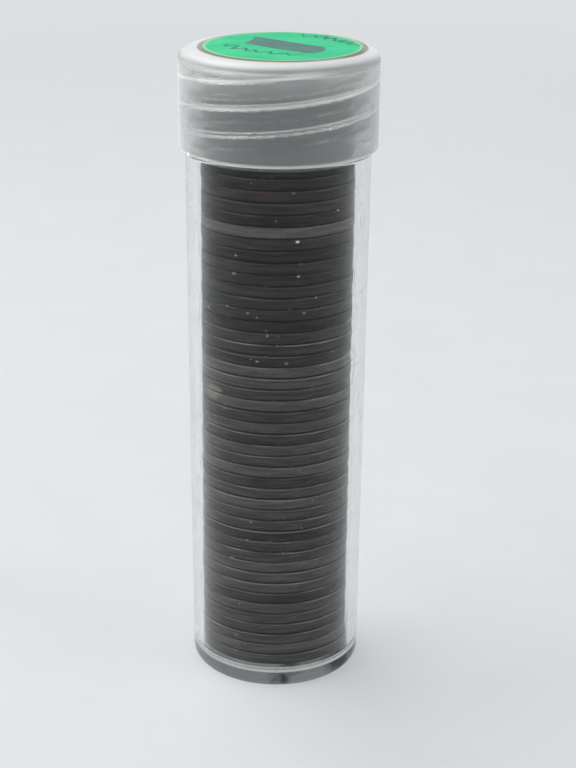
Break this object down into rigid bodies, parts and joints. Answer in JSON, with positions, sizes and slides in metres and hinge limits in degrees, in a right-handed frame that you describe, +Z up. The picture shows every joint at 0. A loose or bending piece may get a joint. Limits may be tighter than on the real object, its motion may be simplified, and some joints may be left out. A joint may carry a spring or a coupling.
{
  "type": "coin tube",
  "caption": "Round clear tube with a frosted screw cap and a round top label, holding a full stack of small plain-edged coins.",
  "frame": {"origin": "centre of the tube's flat foot, on the surface it stands on", "axes": "+Z up along the common axis of tube, neck and cap; +Y away from the picture's viewer, +X to the viewer's right"},
  "size_m": [0.0244, 0.0244, 0.082],
  "materials": {
    "clear_plastic": "clear, polished, lightly scratched",
    "frosted_plastic": "translucent, milky, satin",
    "green_paper": "matt paper sticker",
    "coin_bronze": "dark worn bronze"
  },
  "bodies": {
    "tube": {"tube": "clear_plastic"},
    "bottom_coin": {"coin_01": "coin_bronze"},
    "cap": {"screw_cap": "frosted_plastic", "label": "green_paper"},
    "coin_stack": {"coin_02": "coin_bronze", "coin_03": "coin_bronze", "coin_04": "coin_bronze", "coin_05": "coin_bronze", "coin_06": "coin_bronze", "coin_07": "coin_bronze", "coin_08": "coin_bronze", "coin_09": "coin_bronze", "coin_10": "coin_bronze", "coin_11": "coin_bronze", "coin_12": "coin_bronze", "coin_13": "coin_bronze", "coin_14": "coin_bronze", "coin_15": "coin_bronze", "coin_16": "coin_bronze", "coin_17": "coin_bronze", "coin_18": "coin_bronze", "coin_19": "coin_bronze", "coin_20": "coin_bronze", "coin_21": "coin_bronze", "coin_22": "coin_bronze", "coin_23": "coin_bronze", "coin_24": "coin_bronze", "coin_25": "coin_bronze", "coin_26": "coin_bronze", "coin_27": "coin_bronze", "coin_28": "coin_bronze", "coin_29": "coin_bronze", "coin_30": "coin_bronze", "coin_31": "coin_bronze", "coin_32": "coin_bronze", "coin_33": "coin_bronze", "coin_34": "coin_bronze", "coin_35": "coin_bronze", "coin_36": "coin_bronze", "coin_37": "coin_bronze", "coin_38": "coin_bronze", "coin_39": "coin_bronze", "coin_40": "coin_bronze", "coin_41": "coin_bronze", "coin_42": "coin_bronze", "coin_43": "coin_bronze", "coin_44": "coin_bronze", "coin_45": "coin_bronze", "coin_46": "coin_bronze", "coin_47": "coin_bronze", "coin_48": "coin_bronze", "coin_49": "coin_bronze", "coin_50": "coin_bronze"}
  },
  "joints": [
    {"name": "cap_turn", "type": "hinge", "parent": "tube", "child": "bottom_coin", "pos_m": [0, 0, 0], "axis": [0, 0, 1], "range_deg": [0, 720]},
    {"name": "cap_rise", "type": "slide", "parent": "bottom_coin", "child": "cap", "axis": [0, 0, 1], "range_m": [0, 0.0128]},
    {"name": "stack_play", "type": "slide", "parent": "tube", "child": "coin_stack", "axis": [0, 0, 1], "range_m": [0, 0.0036]}
  ],
  "couplings": [
    {"joint": "cap_turn", "follows": "cap_rise", "rad_per_m": 981.74}
  ]
}
